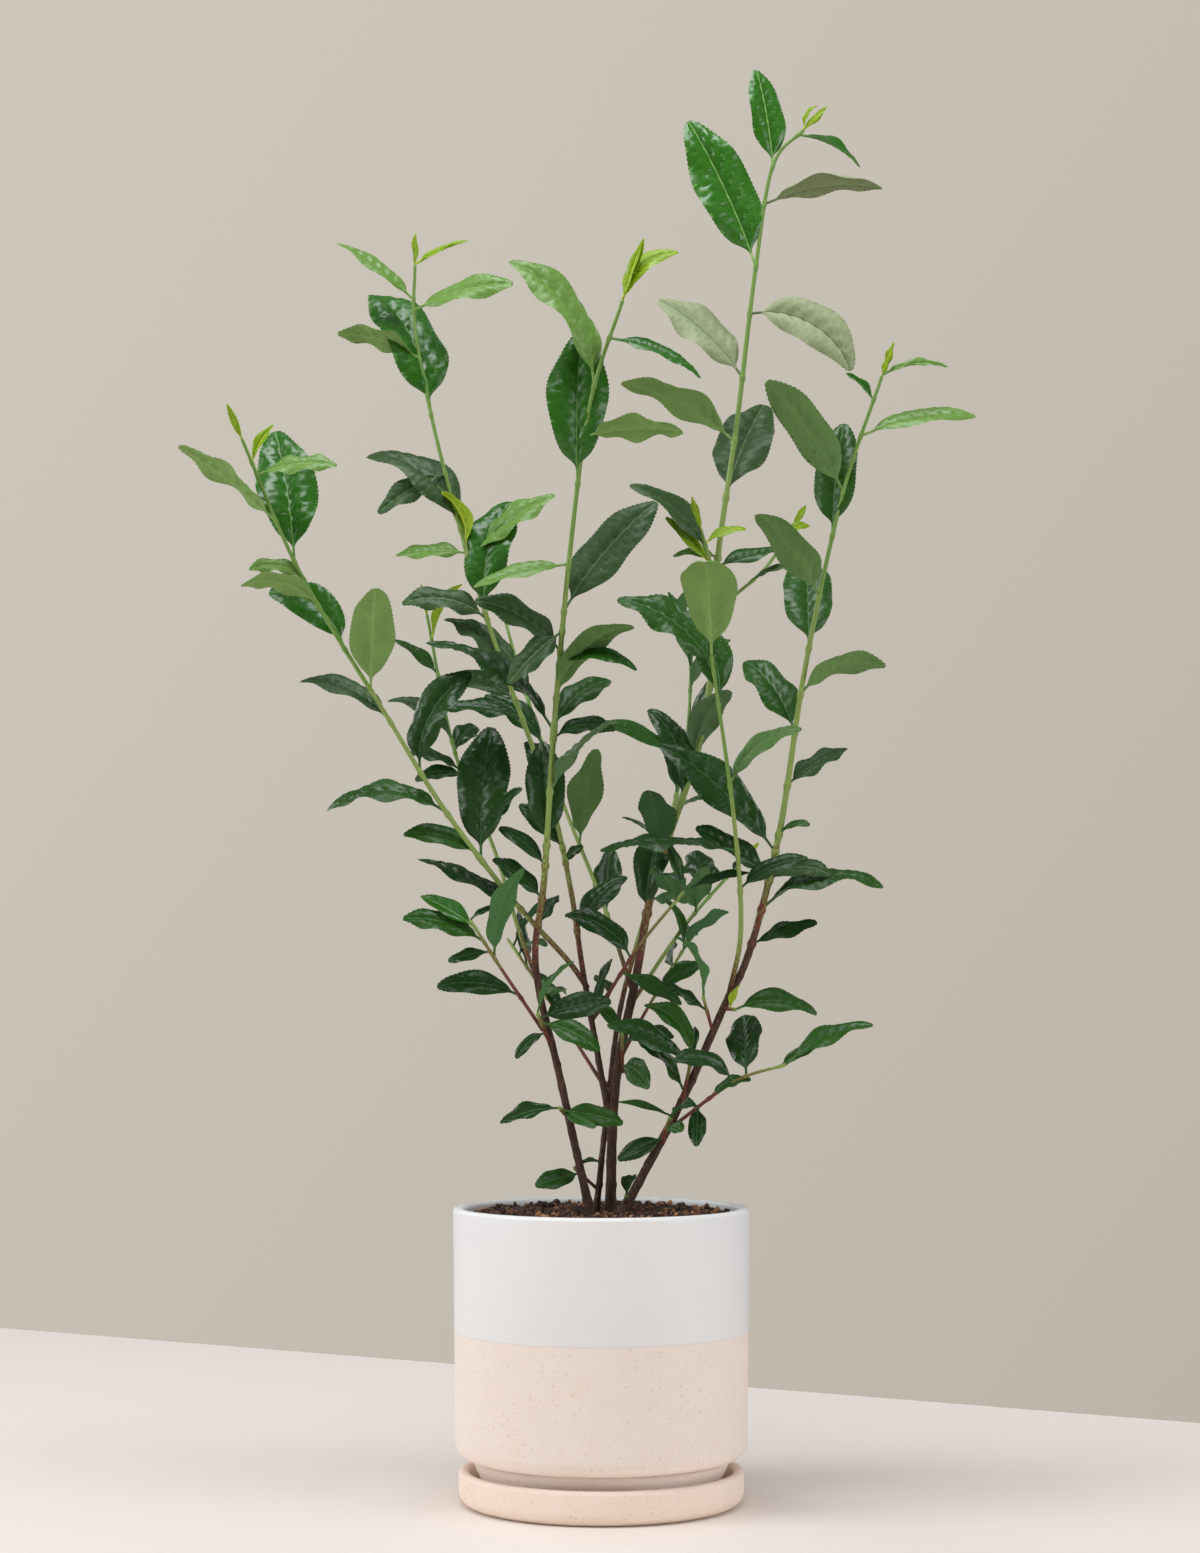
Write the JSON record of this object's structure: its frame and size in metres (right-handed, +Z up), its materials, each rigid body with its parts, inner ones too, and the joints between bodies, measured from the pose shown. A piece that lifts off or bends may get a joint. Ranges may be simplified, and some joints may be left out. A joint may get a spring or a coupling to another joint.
{
  "type": "potted tea bush",
  "caption": "Young tea bush with thin open shoots from one root, in a two-tone ceramic pot standing in its round saucer.",
  "frame": {"origin": "centre of the saucer's flat underside, on the surface the pot stands on", "axes": "+Z up along the pot's axis, +X to the plant's right and -Y towards the viewer of its front"},
  "size_m": [0.4452, 0.2666, 0.8394],
  "materials": {
    "clay": "bare speckled peach stoneware",
    "glaze": "satin white glaze",
    "soil": "moist dark potting soil with crumbs of bark",
    "bark": "thin dull brown bark",
    "foliage": "leathery leaves, glossy above and matt below"
  },
  "bodies": {
    "root": {"saucer": "clay", "pot": "clay", "pot_glaze": "glaze", "soil": "soil", "stem_left": "bark", "stem_main": "bark", "stem_right": "bark", "stem_rear": "bark", "bough_left": "bark", "shoot_tallest": "foliage", "shoot_centre": "foliage", "shoot_back_left": "foliage", "shoot_far_left": "foliage", "shoot_left_rear": "foliage", "shoot_inner_left": "foliage", "shoot_right": "foliage", "shoot_right_front": "foliage", "shoot_rear": "foliage", "shoot_rear_right": "foliage", "twig_left": "foliage", "twig_left_rear": "foliage", "twig_right": "foliage", "twig_right_far": "foliage", "twig_inner_front": "foliage", "twig_inner_rear": "foliage", "spur_left": "foliage", "spur_left_low": "foliage", "spur_main": "foliage", "spur_right": "foliage", "spur_right_low": "foliage", "spur_right_high": "foliage", "spur_foot_left": "foliage", "spur_foot_right": "foliage"}
  },
  "joints": []
}
